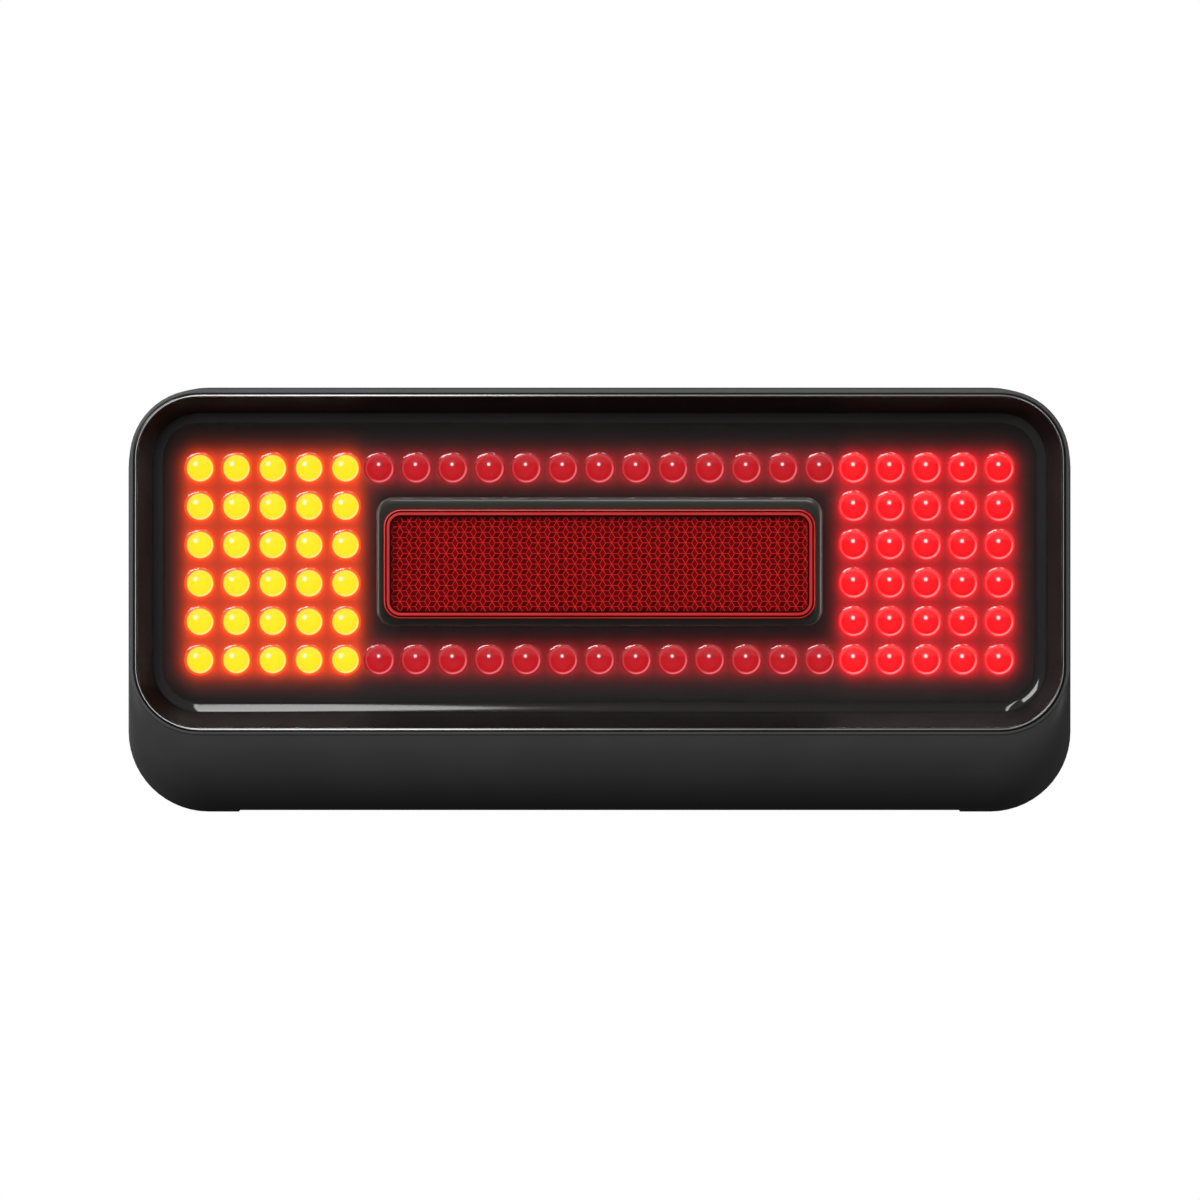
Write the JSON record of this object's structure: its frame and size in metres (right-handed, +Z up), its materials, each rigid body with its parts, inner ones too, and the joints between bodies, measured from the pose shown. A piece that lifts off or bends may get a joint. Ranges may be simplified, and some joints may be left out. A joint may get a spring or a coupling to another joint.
{
  "type": "trailer tail light",
  "caption": "Rectangular LED tail light with amber indicator, red stop and tail lights, central red reflector, curved black housing and two rear mounting studs.",
  "frame": {"origin": "middle of the flat mounting face, halfway between the two studs", "axes": "-Y is the way the light shines, +Y is the way the studs point, +Z is up, and +X is on the right of somebody looking at the lens"},
  "size_m": [0.2, 0.052, 0.09],
  "materials": {
    "housing_black": "finely textured moulded ABS",
    "plate_black": "moulded ABS with a light grain",
    "seal_rubber": "smooth moulded rubber",
    "gasket_foam": "closed-cell foam",
    "zinc_steel": "bright zinc plate",
    "lens_clear": "polished clear polycarbonate",
    "mask_black": "satin black moulding",
    "baffle_black": "satin black moulding",
    "board_green": "solder mask on glass laminate",
    "led_amber": "clear tinted epoxy, lit",
    "led_tail_red": "clear tinted epoxy, lit dimly",
    "led_stop_red": "clear tinted epoxy, lit",
    "tinned_wire": "tinned",
    "chip_black": "moulded epoxy",
    "can_aluminium": "drawn can",
    "terminal_green": "moulded nylon",
    "membrane_white": "expanded film",
    "holder_black": "satin black moulding",
    "backing_red": "moulded acrylic",
    "reflector_red": "polished red acrylic over corner-cube prisms"
  },
  "bodies": {
    "lamp": {"bezel_housing": "housing_black", "rear_plate": "plate_black", "plate_seal": "seal_rubber", "plate_screws": "zinc_steel", "base_gasket": "gasket_foam", "outer_lens": "lens_clear", "lens_seal": "seal_rubber", "led_mask": "mask_black", "light_baffle": "baffle_black", "circuit_board": "board_green", "board_screws": "zinc_steel", "indicator_leds": "led_amber", "tail_leds": "led_tail_red", "stop_leds": "led_stop_red", "led_leads": "tinned_wire", "resistors": "chip_black", "protection_diodes": "chip_black", "current_drivers": "chip_black", "capacitors": "can_aluminium", "wire_terminal": "terminal_green", "cable_grommet": "seal_rubber", "vent_cap": "plate_black", "vent_membrane": "membrane_white", "reflector_tape": "gasket_foam", "reflector_holder": "holder_black", "reflector_backing": "backing_red", "reflex_reflector": "reflector_red", "stud_left": "zinc_steel", "stud_right": "zinc_steel"},
    "left_washer": {"washer_left": "zinc_steel"},
    "left_nut": {"nut_left": "zinc_steel"},
    "right_washer": {"washer_right": "zinc_steel"},
    "right_nut": {"nut_right": "zinc_steel"}
  },
  "joints": [
    {"name": "washer_left_travel", "type": "slide", "parent": "lamp", "child": "left_washer", "axis": [0, 1, 0], "range_m": [-0.001, 0.016]},
    {"name": "nut_left_turn", "type": "hinge", "parent": "left_washer", "child": "left_nut", "pos_m": [-0.076, 0.0065, 0], "axis": [0, 1, 0], "range_deg": [-450, 7200]},
    {"name": "washer_right_travel", "type": "slide", "parent": "lamp", "child": "right_washer", "axis": [0, 1, 0], "range_m": [-0.001, 0.016]},
    {"name": "nut_right_turn", "type": "hinge", "parent": "right_washer", "child": "right_nut", "pos_m": [0.076, 0.0065, 0], "axis": [0, 1, 0], "range_deg": [-450, 7200]}
  ],
  "couplings": [
    {"joint": "nut_left_turn", "follows": "washer_left_travel", "rad_per_m": 7854},
    {"joint": "nut_right_turn", "follows": "washer_right_travel", "rad_per_m": 7854}
  ]
}
